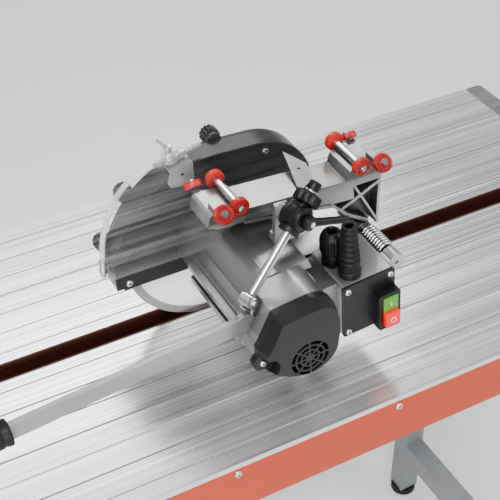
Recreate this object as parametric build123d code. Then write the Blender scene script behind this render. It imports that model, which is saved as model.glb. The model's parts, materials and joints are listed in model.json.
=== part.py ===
from build123d import *
import os
from math import acos, atan2, cos, degrees, pi, radians, sin

os.makedirs("parts", exist_ok=True)

# Rail-guided panel saw. Millimetres, +Z up, X along the cutting slot.
# The origin is on the floor under the middle of the table.

# ---- table ----
table_length = 1400.0
table_height = 820.0          # deck top above the floor
deck_depth = 446.0
slot_width = 21.0
deck_skin = 4.0
deck_rib_depth = 18.0
deck_rib_width = 3.0
plank_pitch = 29.5
groove_width = 2.0
groove_depth = 1.2
channel_wall = 2.5
channel_depth = 24.0
deck_lip = 6.5                # bright edge of the deck above the side rail
fascia_height = 68.0          # down from the deck top
fascia_thickness = 2.5
end_cap_thickness = 26.0
end_cap_height = 40.0
tray_wall = 2.0
tray_depth = 46.0
tray_side_gap = 24.0
tray_end_gap = 30.0
leg_tube = 34.0
leg_inset = 46.0
stretcher_height = 120.0
stretcher_tube = 22.0
foot_radius = 22.0
foot_height = 16.0
screw_head_radius = 4.2
screw_head_height = 2.6
rail_screw_inset = 44.0
rail_screw_drop = 14.0

# ---- guide beam ----
beam_y = -66.0                # centre plane of the beam and the carriage
beam_half_width = 47.5
beam_wall = 3.0
beam_bottom = 176.0           # above the deck
beam_height = 64.0
lip_gap_half = 22.0           # half of the opening between the two lips
post_width = 104.0
post_thickness = 26.0

# ---- carriage ----
head_x = 181.0                # blade axis along the table, at rest
wheel_radius = 10.0
wheel_width = 7.0
wheel_spacing = 20.6
axle_radius = 4.0
axle_height = 195.0
wheel_offset = 26.0           # inner wheels' middle from the beam's centre plane
tilt_wheel_offset = 33.0
tilt_wheel_front_height = 197.0
tilt_wheel_rear_height = 190.0
tilt_angle = 45.0
finger_clearance = 2.97       # from a slanted wheel's finger to the track it runs on
tilt_axle_radius = 2.2
track_width = 4.0
left_axle_x = -13.5
right_axle_x = 125.0
arm_half_width = 20.0
arm_skin = 4.0
arm_left_height = 184.0
arm_right_height = 177.0
block_height = 190.0
run_clearance = 0.05          # running fit of a shaft in its hole
wheel_play = 0.3              # wheels stand clear of the beam's tracks by this

# ---- plunge pivot ----
pivot_x = 140.0
pivot_z = 104.0
pin_radius = 5.0
boss_radius = 9.5
pivot_front = -146.0
spring_front = -129.0
spring_back = -87.0
spring_radius = 9.6
spring_wire = 1.4             # wire radius
knuckle_front = -85.0
knuckle_back = -45.0

# ---- head ----
blade_radius = 100.0
blade_height = 88.0           # blade axis above the deck, at rest
blade_thickness = 2.2
shaft_radius = 7.0
motor_tilt = 4.6              # the motor unit leans by this about its shaft
guard_radius = 117.0          # round the blade
guard_centre = (0.0, 86.0)
guard_nose = (45.0, 130.0)    # centre of the smaller round at the upper right
guard_nose_radius = 71.0
guard_half = 14.0
guard_wall = 3.0
guard_floor = 69.0
guard_gap = 0.4               # between the guard's rim and its outer cover
motor_front = -188.0
motor_back = -14.0
fan_cover_front = -209.0
cover_wall = 3.0
cover_corner = 20.0           # round of the fan cover's lower corners
screw_lobe = (-44.0, 6.5)     # set-back ear of the fan cover with its screw
lobe_front = -196.0
lobe_radius = 9.5
lobe_gap = 2.5
rear_plate_right = 116.0      # thin plate behind the switch box
rear_plate_back = -50.0
rear_plate_thickness = 8.0
rear_plate_gap = 0.3
barrel_radius = 45.0
barrel_u = 0.0
barrel_w = 17.0
stator_radius = 21.0
rotor_radius = 14.0
bearing_radius = 13.0
box_u = (67.0, 129.0)
box_w = (-53.0, 14.6)
box_y = (-157.0, -96.0)
box_wall = 3.0
cover_plate = 3.0
button_travel = 2.5
button_gap = 0.3
rod_radius = 4.5
hose_radius = 3.0


def place_table(shape):
    """From deck height to the floor-based frame."""
    return Pos(0, 0, table_height) * shape


def place_head(shape):
    """From the head frame, on the deck under the blade axis."""
    return Pos(head_x, 0, table_height) * shape


def place_motor(shape):
    """From the leaning motor frame, centred on the shaft."""
    return place_head(Pos(0, 0, blade_height) * Rot(0, -motor_tilt, 0) * shape)


def save(name, shape):
    if isinstance(shape, (list, ShapeList)):
        shape = Compound(children=list(shape))
    shape.label = name
    export_step(shape, f"parts/{name}.step")


def block(x, y, z):
    """A box from its (low, high) pairs."""
    size = (x[1] - x[0], y[1] - y[0], z[1] - z[0])
    middle = ((x[0] + x[1]) / 2, (y[0] + y[1]) / 2, (z[0] + z[1]) / 2)
    return Pos(*middle) * Box(*size)


def cross_bar(x, z, radius, y):
    """A round bar along Y, from y[0] to y[1]."""
    return Pos(x, (y[0] + y[1]) / 2, z) * Rot(90, 0, 0) * Cylinder(radius, y[1] - y[0])


def bar_between(start, end, radius):
    axis = Vector(*end) - Vector(*start)
    base = Plane(origin=start, z_dir=axis)
    return base * Cylinder(radius, axis.length, align=(Align.CENTER, Align.CENTER, Align.MIN))


def plate_xz(points, y):
    """An outline in X and Z, extruded along Y."""
    wire = Polyline(*[(px, y[0], pz) for px, pz in points], close=True)
    return extrude(make_face(wire), amount=y[1] - y[0], dir=(0, 1, 0))


def plate_yz(points, x):
    """An outline in Y and Z, extruded along X."""
    wire = Polyline(*[(x[0], py, pz) for py, pz in points], close=True)
    return extrude(make_face(wire), amount=x[1] - x[0], dir=(1, 0, 0))


def plate_xy(points, z):
    wire = Polyline(*[(px, py, z[0]) for px, py in points], close=True)
    return extrude(make_face(wire), amount=z[1] - z[0], dir=(0, 0, 1))


def soften(shape, radius, axis):
    """Round the edges that run along one axis."""
    return fillet(shape.edges().filter_by(axis), radius)


def polar(angle, radius, centre=(0.0, 0.0)):
    return (centre[0] + radius * cos(radians(angle)), centre[1] + radius * sin(radians(angle)))


# =====================================================================
# Table
# =====================================================================
half_length = table_length / 2
half_deck = deck_depth / 2
channel_half = slot_width / 2 + channel_wall


def deck_half(side):
    """One grooved half of the deck, on the side -1 (front) or +1 (rear)."""
    near = channel_half
    far = half_deck
    skin = block((-half_length, half_length), (near, far), (-deck_skin, 0))
    grooves = []
    start = near + plank_pitch / 2
    count = int((far - start) / plank_pitch) + 1
    for step in range(count):
        middle = start + step * plank_pitch
        lane = (middle - groove_width / 2, middle + groove_width / 2)
        if lane[1] < far - deck_rib_width:
            grooves.append(block((-half_length, half_length), lane, (-groove_depth, 1)))
    skin = skin - grooves
    ribs = []
    rib_count = 7
    for step in range(rib_count):
        left = near + (far - near - deck_rib_width) * step / (rib_count - 1)
        lane = (left, left + deck_rib_width)
        ribs.append(block((-half_length, half_length), lane, (-deck_rib_depth, -deck_skin)))
    lip = block((-half_length, half_length), (far, far + fascia_thickness), (-deck_lip, 0))
    half = skin + ribs + lip
    return place_table(half if side > 0 else mirror(half, about=Plane.XZ))


def slot_channel():
    half = slot_width / 2
    outline = [
        (-channel_half, 0), (-half, 0), (-half, -channel_depth), (half, -channel_depth),
        (half, 0), (channel_half, 0), (channel_half, -channel_depth - channel_wall),
        (-channel_half, -channel_depth - channel_wall),
    ]
    return place_table(plate_yz(outline, (-half_length, half_length)))


def fascia(side):
    """A folded side rail with a narrow return along its foot, hung under the deck's lip."""
    inner = half_deck
    outer = half_deck + fascia_thickness
    rail = block((-half_length, half_length), (inner, outer), (-fascia_height, -deck_lip))
    low = (inner - 12, inner)
    foot = block((-half_length, half_length), low, (-fascia_height, -fascia_height + fascia_thickness))
    rail = rail + foot
    return place_table(rail if side > 0 else mirror(rail, about=Plane.XZ))


def fascia_screws():
    heads = []
    outer = half_deck + fascia_thickness
    for side in (-1, 1):
        for step in range(8):
            x = -half_length + rail_screw_inset + step * (table_length - 2 * rail_screw_inset) / 7
            near = side * outer
            far = side * (outer + screw_head_height)
            heads.append(cross_bar(x, -rail_screw_drop, screw_head_radius, (min(near, far), max(near, far))))
    return [place_table(head) for head in heads]


def end_caps():
    caps = []
    for side in (-1, 1):
        inner = side * half_length
        outer = side * (half_length + end_cap_thickness)
        x = (min(inner, outer), max(inner, outer))
        width = half_deck + fascia_thickness
        cap = block(x, (-width, width), (-end_cap_height, 0))
        caps.append(place_table(soften(cap, 5, Axis.Z)))
    return caps


def tray_size():
    x = half_length - tray_end_gap - leg_inset - leg_tube
    y = half_deck - tray_side_gap
    top = -channel_depth - channel_wall - 2.0
    return x, y, top


def water_tray():
    x, y, top = tray_size()
    shell = block((-x, x), (-y, y), (top - tray_depth, top))
    inside = block((-x + tray_wall, x - tray_wall), (-y + tray_wall, y - tray_wall),
                   (top - tray_depth + tray_wall, top + 1))
    drain = Pos(x - 60, 0, top - tray_depth - 9) * Cylinder(12, 18)
    drain_bore = Pos(x - 60, 0, top - tray_depth) * Cylinder(9, 60)
    hangers = []
    for step in (-1, 0, 1):
        for side in (-1, 1):
            inner = y
            lane = (inner, half_deck - 12) if side > 0 else (-half_deck + 12, -inner)
            hangers.append(block((step * (x - 60) - 14, step * (x - 60) + 14), lane, (top - 6, top)))
    return place_table(shell - inside + drain - drain_bore + hangers)


def leg_frames():
    """Two welded end frames and the two stretchers that join them."""
    top = -deck_rib_depth
    leg_x = half_length - leg_inset
    leg_y = half_deck - 14 - leg_tube / 2
    half = leg_tube / 2
    frames = []
    for side in (-1, 1):
        x = (side * leg_x - half, side * leg_x + half)
        frame = block(x, (-leg_y - half, leg_y + half), (top - leg_tube, top))
        for foot in (-1, 1):
            leg = block(x, (foot * leg_y - half, foot * leg_y + half),
                        (foot_height - table_height, top - leg_tube))
            frame = frame + leg
        low = stretcher_height - table_height
        frame = frame + block(x, (-leg_y + half, leg_y - half), (low - half, low + half))
        notch_depth = channel_depth + channel_wall + 1
        frame = frame - block(x, (-channel_half - 1, channel_half + 1), (-notch_depth, 0))
        frames.append(place_table(frame))
    low = stretcher_height - table_height + 60
    half_bar = stretcher_tube / 2
    for side in (-1, 1):
        bar = block((-leg_x + half, leg_x - half), (side * leg_y - half_bar, side * leg_y + half_bar),
                    (low - half_bar, low + half_bar))
        frames.append(place_table(bar))
    return frames


def feet():
    pads = []
    leg_x = half_length - leg_inset
    leg_y = half_deck - 14 - leg_tube / 2
    for side in (-1, 1):
        for front in (-1, 1):
            pad = Pos(side * leg_x, front * leg_y, foot_height / 2) * Cylinder(foot_radius, foot_height)
            pads.append(chamfer(pad.edges().group_by(Axis.Z)[0], 3))
    return pads


def slanted_corner(height):
    """Where a slanted wheel's corner face meets the lip and the side wall."""
    reach = wheel_radius * sin(radians(tilt_angle)) + wheel_play
    contact_y = tilt_wheel_offset + reach
    contact_z = height - reach
    lip_top = beam_bottom + beam_wall
    inner = beam_half_width - beam_wall
    return [(inner, contact_z + (inner - contact_y)), (contact_y - (contact_z - lip_top), lip_top)]


def beam_half(height):
    """Inner outline of one side, from the roof down to the lip's edge."""
    track = axle_height - wheel_radius - wheel_play
    lip_top = beam_bottom + beam_wall
    track_in = wheel_offset - 1.0
    track_out = track_in + track_width
    roof = (beam_half_width - beam_wall, beam_bottom + beam_height - beam_wall)
    return [roof] + slanted_corner(height) + [
        (track_out, lip_top), (track_out, track), (track_in, track), (track_in, lip_top),
        (lip_gap_half, lip_top), (lip_gap_half, beam_bottom),
    ]


def guide_beam():
    """C-shaped beam: two lips with raised wheel tracks and slanted corners."""
    top = beam_bottom + beam_height
    front = [(-y, z) for y, z in beam_half(tilt_wheel_front_height)]
    rear = beam_half(tilt_wheel_rear_height)
    outer_side = [(beam_half_width, beam_bottom), (beam_half_width, top),
                  (-beam_half_width, top), (-beam_half_width, beam_bottom)]
    points = outer_side + list(reversed(front)) + rear
    shifted = [(beam_y + y, z) for y, z in points]
    return place_table(plate_yz(shifted, (-half_length, half_length)))


def beam_posts():
    posts = []
    for side in (-1, 1):
        near = side * (half_length + end_cap_thickness)
        far = side * (half_length + end_cap_thickness + 10)
        x = (min(near, far), max(near, far))
        y = (beam_y - post_width / 2, beam_y + post_width / 2)
        upright = block(x, y, (-end_cap_height, beam_bottom + beam_height))
        inner = side * half_length
        shelf_x = (min(inner, near), max(inner, near))
        cheek = block(shelf_x, y, (beam_bottom, beam_bottom + beam_height))
        gusset = plate_xz([(inner, beam_bottom), (near, beam_bottom), (near, beam_bottom - 60)],
                          (beam_y - 6, beam_y + 6))
        posts.append(place_table(upright + cheek + gusset))
    return posts


# =====================================================================
# Carriage
# =====================================================================
arm_front = beam_y - arm_half_width
arm_back = beam_y + arm_half_width
slide_span = (arm_front, arm_back)


def arm_top(x):
    """Height of the arm's sloping top."""
    left = left_axle_x + 16.5
    right = right_axle_x - 11
    share = (x - left) / (right - left)
    return arm_left_height + share * (arm_right_height - arm_left_height)


def carriage():
    left_end = left_axle_x - 31.5
    left_in = left_axle_x + 11.5
    right_in = right_axle_x - 12
    right_end = right_axle_x + 30
    skin = arm_skin
    left_block = plate_xz([
        (left_end, block_height - 14), (left_end + 3, block_height - 2), (left_end + 6, block_height),
        (left_in - 3, block_height), (left_in, arm_top(left_in)), (left_in, 170), (left_end + 12, 170),
    ], slide_span)
    top_plate = plate_xz([
        (left_in, arm_top(left_in)), (right_in, arm_top(right_in)),
        (right_in, arm_top(right_in) - skin), (left_in, arm_top(left_in) - skin),
    ], slide_span)
    right_block = plate_xz([
        (right_in, arm_top(right_in) - 9), (right_in, arm_top(right_in)), (right_in + 3, block_height - 2),
        (right_in + 7, block_height), (right_end - 7, block_height), (right_end, block_height - 10),
        (right_end, 168), (right_in + 4, 168),
    ], slide_span)
    left_foot = (left_in, 170.0)
    step_foot = (62.0, 161.0)
    low_web = [(left_in, arm_top(left_in) - skin), (right_in, arm_top(right_in) - skin),
               (right_in + 8, 168), (right_in + 10, 152), (93, 154), step_foot, left_foot]
    front_web = plate_xz(low_web, (arm_front, arm_front + 3.5))
    back_web = plate_xz(low_web, (arm_back - 3.5, arm_back))
    web_low = [(93, 154), (right_in + 10, 168), (right_end, 168), (right_end + 1, pivot_z + 6),
               (pivot_x + boss_radius, pivot_z), (pivot_x - boss_radius, pivot_z + 3), (118, 130)]
    shield = plate_xz(web_low, (arm_front + 14, arm_front + 18))
    frame_depth = (arm_front, arm_front + 14)
    rim = plate_xz([(93, 154), (93, 158), (118, 134), (pivot_x + 4, pivot_z + 14),
                    (pivot_x + 2, pivot_z + 10.5), (118, 130)], frame_depth)
    side = plate_xz([(right_end - 3, 168), (right_end, 168), (right_end + 1, pivot_z + 6),
                     (right_end - 2, pivot_z + 6)], frame_depth)
    rib_one = plate_xz([(right_in + 8, 168), (right_in + 11, 168), (right_end - 2, pivot_z + 14),
                        (right_end - 2, pivot_z + 10)], frame_depth)
    rib_two = plate_xz([(right_end - 3, 162), (right_end - 3, 166), (108, 143.5), (109, 141)], frame_depth)
    knuckle = cross_bar(pivot_x, pivot_z, boss_radius, (knuckle_front, knuckle_back))
    body = left_block + top_plate + right_block + front_web + back_web
    body = body + shield + rim + side + rib_one + rib_two + knuckle
    flange = plate_xz([(left_in - 3, 171), step_foot, (96, 154), (96, 151), (step_foot[0], 158),
                       (left_in - 3, 168)], (arm_front - 2, arm_front + 6))
    body = body + flange
    pin_hole = cross_bar(pivot_x, pivot_z, pin_radius, (knuckle_front - 20, knuckle_back + 20))
    body = body - pin_hole
    for x in tilt_wheel_stations():
        for side_y in (-1, 1):
            body = body + tilt_finger(x, side_y) - tilt_axle(x, side_y)
    for x in (left_axle_x, right_axle_x):
        bore = axle_radius + run_clearance
        seat = cross_bar(x, axle_height, bore, (arm_front - 5, arm_back + 5))
        body = body - seat
    lightening = block((left_end + 16, left_in - 4), (arm_front + 5, arm_back - 5), (160, block_height - 12))
    return place_head(body - lightening)


def tilt_wheel_stations():
    return (left_axle_x - wheel_spacing, right_axle_x + wheel_spacing)


def tilt_direction(side):
    """Outward axis of a slanted wheel on the side -1 (front) or +1 (rear)."""
    return Vector(0, side * sin(radians(tilt_angle)), cos(radians(tilt_angle)))


def tilt_height(side):
    return tilt_wheel_front_height if side < 0 else tilt_wheel_rear_height


def tilt_centre(x, side):
    return Vector(x, beam_y + side * tilt_wheel_offset, tilt_height(side))


def tilt_finger(x, side):
    """Arm that reaches over the track and carries a slanted wheel."""
    top = tilt_height(side)
    face = wheel_width / 2 + 0.7
    slope = face / cos(radians(45))
    reach = wheel_radius * sin(radians(tilt_angle)) - finger_clearance
    low = top - reach
    outline = [(8, 182), (18, 182), (24, low), (tilt_wheel_offset + reach - slope, low),
               (tilt_wheel_offset - slope, top), (8, top)]
    points = [(beam_y + side * y, z) for y, z in outline]
    return plate_yz(points, (x - 4, x + 4))


def tilt_axle(x, side):
    centre = tilt_centre(x, side)
    out = tilt_direction(side)
    outer = centre + out * (wheel_width / 2 + 1.2)
    inner = centre - out * (wheel_width / 2 + 1.7)
    return bar_between(tuple(inner), tuple(outer), tilt_axle_radius)


def tilt_axles():
    axles = []
    for x in tilt_wheel_stations():
        for side in (-1, 1):
            centre = tilt_centre(x, side)
            out = tilt_direction(side)
            cap_base = centre + out * (wheel_width / 2 + 0.4)
            cap = bar_between(tuple(cap_base), tuple(cap_base + out * 1.2), 3.4)
            axles.append(place_head(tilt_axle(x, side) + cap))
    return axles


def tilt_wheel(x, side):
    centre = tilt_centre(x, side)
    out = tilt_direction(side)
    low = centre - out * (wheel_width / 2)
    high = centre + out * (wheel_width / 2)
    tyre = bar_between(tuple(low), tuple(high), wheel_radius)
    tyre = chamfer(tyre.edges().filter_by(GeomType.CIRCLE), 0.8)
    dish = bar_between(tuple(high - out * 1.2), tuple(high + out), wheel_radius * 0.62)
    boss = bar_between(tuple(high - out * 1.2), tuple(high), 4.2)
    bore = bar_between(tuple(low - out), tuple(high + out), tilt_axle_radius + run_clearance)
    return place_head(tyre - dish + boss - bore)


def wheel_faces(side):
    middle = beam_y + side * wheel_offset
    return (middle - wheel_width / 2, middle + wheel_width / 2)


def flat_wheels(x):
    """The pair of red wheels pressed on one straight axle."""
    wheels = []
    for side in (-1, 1):
        near, far = wheel_faces(side)
        wheel = cross_bar(x, axle_height, wheel_radius, (near, far))
        wheel = chamfer(wheel.edges().filter_by(GeomType.CIRCLE), 0.8)
        face = near if side < 0 else far
        dish = cross_bar(x, axle_height, wheel_radius * 0.62, (face - 1.2, face + 1.2))
        hub = cross_bar(x, axle_height, axle_radius + 1.4, (near, far))
        bore = cross_bar(x, axle_height, axle_radius - 1.0, (near - 1, far + 1))
        wheels.append(place_head(wheel - dish + hub - bore))
    return wheels


def straight_axle(x):
    front = wheel_faces(-1)
    back = wheel_faces(1)
    shaft = cross_bar(x, axle_height, axle_radius, (front[1], back[0]))
    ends = cross_bar(x, axle_height, axle_radius - 1.0, (front[0] - 1.4, back[1] + 1.4))
    return place_head(shaft + ends)


def pivot_pin():
    pin = cross_bar(pivot_x, pivot_z, pin_radius, (pivot_front + 2, knuckle_back + 3))
    return place_head(pin)


def plunge_spring():
    """Torsion spring: a coil round the pivot pin."""
    length = spring_back - spring_front - 4 * spring_wire
    turns = 9
    path = Helix(pitch=length / turns, height=length, radius=spring_radius)
    start = path @ 0
    section = Plane(origin=start, z_dir=path % 0) * Circle(spring_wire)
    coil = sweep(section, path=path)
    coil = Rot(-90, 0, 0) * coil
    return place_head(Pos(pivot_x, spring_front + 2 * spring_wire, pivot_z) * coil)


def guide_plate():
    """A bright sheet tab on a foot on the arm, rising to the back."""
    outline = [(59, 0), (78, 9), (85, 32), (71, 57)]
    thickness = 1.5
    rise = 10.0
    front = arm_front + 3
    base = arm_top(59) + 0.4
    sheet = plate_xy(outline, (0, thickness)) - Pos(74, 28, 0) * Cylinder(1.8, 10)
    sheet = Pos(0, front, base) * Rot(rise, 0, 0) * sheet
    foot_y = (front + 6, front + 13)
    foot = plate_yz([(foot_y[0], arm_top(62)), (foot_y[1], arm_top(62)), (foot_y[1], base + 3),
                     (foot_y[0], base + 2)], (66, 72))
    return place_head(sheet + foot)


# =====================================================================
# Depth rod and its clamp
# =====================================================================
fork_point = (-43.7, -166.0, 146.0)
clamp_point = (13.8, -144.0, 197.2)
rod_heading = degrees(atan2(clamp_point[1] - fork_point[1], clamp_point[0] - fork_point[0]))
rod_axis = (Vector(*clamp_point) - Vector(*fork_point)).normalized()
rod_side = Vector(-sin(radians(rod_heading)), cos(radians(rod_heading)), 0)
clamp_centre = Vector(*clamp_point) + rod_axis * 10
clamp_slack = 0.5             # the rod floats in its sleeve by this
eye_slack = 0.25              # and its eye on the fork's pin by this
sleeve_radius = 8.6
barrel_front = 10.0           # reach of the swivel barrel to the front and to the rear
barrel_rear = 12.0
knob_start = 14.2             # along the rod, from the clamp's centre
knob_length = 11.5
cap_length = 11.5
lever_reach = (44.0, 0.0, -11.5)
strap_top = 134.0


def depth_rod():
    start = Vector(*fork_point)
    end = clamp_centre + rod_axis * (knob_start + knob_length + cap_length - 1)
    rod = bar_between(tuple(start + rod_axis * 6.5), tuple(end), rod_radius)
    eye = bar_between(tuple(start - rod_side * 4.2), tuple(start + rod_side * 4.2), 6.5)
    hole = bar_between(tuple(start - rod_side * 9), tuple(start + rod_side * 9), 2.5 + eye_slack)
    return place_head(rod + eye - hole)


def rod_cap():
    """Round cap on the rod's end that rests on the knob as the depth stop."""
    base = clamp_centre + rod_axis * (knob_start + knob_length + 0.5)
    ring = bar_between(tuple(base), tuple(base + rod_axis * 1.5), 8.0)
    cap = bar_between(tuple(base + rod_axis * 1.5), tuple(base + rod_axis * cap_length), 6.3)
    hole = bar_between(tuple(base - rod_axis), tuple(base + rod_axis * (cap_length - 1.5)), rod_radius)
    return place_head(ring + cap - hole)


def rod_fork():
    """Clevis and its pin, standing on the boss of the pull handle."""
    start = Vector(*fork_point)
    pin = bar_between(tuple(start - rod_side * 9.2), tuple(start + rod_side * 9.2), 2.5)
    cheeks = []
    for side in (-1, 1):
        near = start + rod_side * (side * 4.8)
        far = start + rod_side * (side * 7.8)
        low = near if side > 0 else far
        high = far if side > 0 else near
        cheek = bar_between(tuple(low), tuple(high), 5.5)
        drop = start.Z - strap_top
        stem = Box(6.0, 3.0, drop, align=(Align.CENTER, Align.CENTER, Align.MAX))
        middle = (near + far) * 0.5
        cheeks.append(cheek + Pos(*middle) * Rot(0, 0, rod_heading) * stem)
    base = Pos(start.X, start.Y, strap_top) * Rot(0, 0, rod_heading) * Box(
        6.0, 15.6, 3.0, align=(Align.CENTER, Align.CENTER, Align.MIN))
    return place_head(pin + cheeks + base)


def clamp_body():
    """Sleeve on the rod, crossed by the swivel barrel."""
    centre = clamp_centre
    sleeve = bar_between(tuple(centre - rod_axis * 16), tuple(centre + rod_axis * (knob_start - 0.4)),
                         sleeve_radius)
    collar = bar_between(tuple(centre - rod_axis * 17), tuple(centre - rod_axis * 11), 10.5)
    barrel = bar_between(tuple(centre - rod_side * barrel_front), tuple(centre + rod_side * barrel_rear), 13.5)
    bore = bar_between(tuple(centre - rod_axis * 30), tuple(centre + rod_axis * 34), rod_radius + clamp_slack)
    return place_head(sleeve + collar + barrel - bore)


def clamp_knob():
    """Lobed hand nut round the rod, above the sleeve."""
    base = clamp_centre + rod_axis * knob_start
    stand = Plane(origin=tuple(base), z_dir=rod_axis)
    rising = (Align.CENTER, Align.CENTER, Align.MIN)
    knob = Cylinder(13.5, knob_length, align=rising)
    for step in range(8):
        x, y = polar(step * 45 + 22.5, 15.4)
        knob = knob - Pos(x, y, -1) * Cylinder(3.6, knob_length + 2, align=rising)
    knob = knob - Pos(0, 0, -1) * Cylinder(rod_radius + clamp_slack, knob_length + 2, align=rising)
    return place_head(stand * knob)


def clamp_lever():
    """Side lever that locks the sleeve on the rod."""
    start = clamp_centre - rod_side * (barrel_front + 0.4)
    hub = bar_between(tuple(start - rod_side * 8), tuple(start), 7.5)
    middle = start - rod_side * 4
    end = middle + Vector(*lever_reach)
    bar = bar_between(tuple(middle), tuple(end), 4.2)
    return place_head(hub + bar)


def clamp_bracket():
    """Black arm from the carriage's web, under the beam, out to the clamp."""
    low = 165.0
    high = 174.0
    pad_start = clamp_centre + rod_side * (barrel_rear + 0.4)
    pad_end = pad_start + rod_side * 6.6
    pad = bar_between(tuple(pad_start), tuple(pad_end), 8.0)
    riser_y = (pad_end.Y - 2.5, pad_end.Y + 3.5)
    riser_x = (pad_end.X - 7, pad_end.X + 7)
    riser = block(riser_x, riser_y, (low, clamp_centre.Z + 6))
    arm = block((riser_x[0], 44), (riser_y[0], riser_y[1] + 6), (low, high))
    reach = block((34, 44), (riser_y[0], arm_front), (low, high))
    foot = block((30, 48), (arm_front - 4, arm_front), (167, 175))
    return place_head((riser - pad) + arm + reach + foot + pad)


# =====================================================================
# Motor unit
# =====================================================================
fan_outline = [
    (-28, 61), (-43, 33), (-48, 26), (-48, 4), (-38, -9), (-22, -19), (-4, -25.5), (13, -24.5),
    (27, -17), (35, -4), (38, 14), (38, 36), (34, 50), (24, 59), (14, 62),
]


def inset(points, amount, centre=(-4.0, 18.0)):
    """An outline moved inwards, towards a centre, by about one amount."""
    moved = []
    for x, z in points:
        dx = x - centre[0]
        dz = z - centre[1]
        reach = (dx * dx + dz * dz) ** 0.5
        share = (reach - amount) / reach
        moved.append((centre[0] + dx * share, centre[1] + dz * share))
    return moved


def rounded_outline(points, y):
    """Face of an outline with its lower and right corners rounded."""
    face = make_face(Polyline(*[(x, y, z) for x, z in points], close=True))
    corners = [corner for corner in face.vertices() if corner.Z < 12 or corner.X > 0]
    return fillet(corners, cover_corner)


def motor_housing():
    outline = rounded_outline(inset(fan_outline, 1.0), motor_front)
    front = extrude(outline, amount=40, dir=(0, 1, 0))
    barrel = cross_bar(barrel_u, barrel_w, barrel_radius, (motor_front + 40, motor_back))
    top = plate_xz([(-8, 54), (-8, 61.5), (36, 61.5), (40, 50)], (motor_front + 40, -45))
    slots = plate_xz([
        (-30, 36), (-30, 42), (-36, 46), (-41, 38), (-46, 38), (-46, 32), (-52, 30), (-52, 24), (-44, 24),
        (-44, 16), (-52, 16), (-52, 8), (-46, 8), (-46, -2), (-36, -8), (-30, -8),
    ], (motor_front + 30, -60))
    neck = plate_xz([(36, -34), (36, 14.6), (box_u[0], 14.6), (box_u[0], -34)],
                    (box_y[0] + 8, box_y[1] - 4))
    plate_y = (box_y[1] + rear_plate_gap, rear_plate_back)
    plate = block((36, rear_plate_right), plate_y, (box_w[1] - rear_plate_thickness, box_w[1]))
    body = front + barrel + top + slots + neck + soften(plate, 3, Axis.Z)
    cavity = cross_bar(0, 0, stator_radius, (motor_front - 1, -60))
    shaft_way = cross_bar(0, 0, shaft_radius + 3, (-80, motor_back + 1))
    bearing = cross_bar(0, 0, bearing_radius, (-60.5, -50))
    return place_motor(body - cavity - shaft_way - bearing)


def fan_cover():
    """Moulded cover with a smaller front face and a ringed grille."""
    base = rounded_outline(fan_outline, motor_front - 8)
    back = extrude(base, amount=8, dir=(0, 1, 0))
    nose = loft([base, rounded_outline(inset(fan_outline, 4.5), fan_cover_front)])
    pocket = cross_bar(*screw_lobe, lobe_radius + lobe_gap, (fan_cover_front - 1, lobe_front))
    lobe = cross_bar(*screw_lobe, lobe_radius, (lobe_front, motor_front))
    shell = back + nose - pocket + lobe
    inner = plate_xz(inset(fan_outline, cover_wall + 3.5), (fan_cover_front + cover_wall, motor_front + 1))
    keep = cross_bar(*screw_lobe, lobe_radius + lobe_gap + cover_wall, (fan_cover_front, motor_front + 2))
    shell = shell - (inner - keep)
    rings = ((20.5, 16.6), (14.6, 10.8), (8.8, 5.0))
    grille = []
    for outer, inner_radius in rings:
        ring = cross_bar(0, 0, outer, (fan_cover_front - 1, fan_cover_front + cover_wall + 0.5))
        core = cross_bar(0, 0, inner_radius, (fan_cover_front - 2, fan_cover_front + cover_wall + 1))
        grille.append(ring - core)
    grille.append(cross_bar(0, 0, 3.0, (fan_cover_front - 1, fan_cover_front + cover_wall + 0.5)))
    spokes = []
    for step in range(4):
        spoke = Box(44, cover_wall + 3, 1.9)
        spokes.append(Pos(0, fan_cover_front + 1, 0) * Rot(0, step * 45, 0) * spoke)
    holes = grille[0] + grille[1:]
    for spoke in spokes:
        holes = holes - spoke
    return place_motor(shell - holes)


def stator():
    ring = cross_bar(0, 0, stator_radius, (-165, -80)) - cross_bar(0, 0, rotor_radius + 0.8, (-170, -75))
    return place_motor(ring)


def bearing_at(y):
    ring = cross_bar(0, 0, bearing_radius, y) - cross_bar(0, 0, shaft_radius + run_clearance, (y[0] - 1, y[1] + 1))
    return ring


def motor_bearings():
    carrier = cross_bar(0, 0, stator_radius, (-184, -175)) - cross_bar(0, 0, bearing_radius, (-186, -174))
    rear = bearing_at((-184, -175))
    front = bearing_at((-60, -50))
    return [place_motor(carrier), place_motor(rear), place_motor(front)]


def switch_box():
    u = box_u
    w = box_w
    outer = soften(block(u, box_y, w), 4, Axis.Y)
    inner = block((u[0] + box_wall, u[1] - box_wall), (box_y[0] - 1, box_y[1] - box_wall),
                  (w[0] + box_wall, w[1] - box_wall))
    boss_u, boss_w = head_to_motor(pivot_x, pivot_z)
    boss = cross_bar(boss_u, boss_w, boss_radius, (pivot_front, spring_front - 1))
    web = block((u[1] - 0.5, boss_u), (pivot_front, spring_front - 1), (boss_w - boss_radius + 1, boss_w + 6))
    body = outer - inner + web + boss
    body = body - cross_bar(boss_u, boss_w, pin_radius + run_clearance, (pivot_front + 2, spring_front + 9))
    body = body - cross_bar(boss_u, boss_w, 2.4, (pivot_front - 5, pivot_front + 5))
    for x, y, radius in (gland_spot, boot_spot):
        body = body - Pos(x, y, w[1]) * Cylinder(radius, 20)
    return place_motor(body)


def motor_to_head(u, w):
    """A point of the leaning motor frame in the head frame."""
    lean = radians(motor_tilt)
    return (u * cos(lean) - w * sin(lean), blade_height + u * sin(lean) + w * cos(lean))


def head_to_motor(x, z):
    """A point of the head frame in the leaning motor frame."""
    dz = z - blade_height
    lean = radians(motor_tilt)
    return (x * cos(lean) + dz * sin(lean), -x * sin(lean) + dz * cos(lean))


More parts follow.
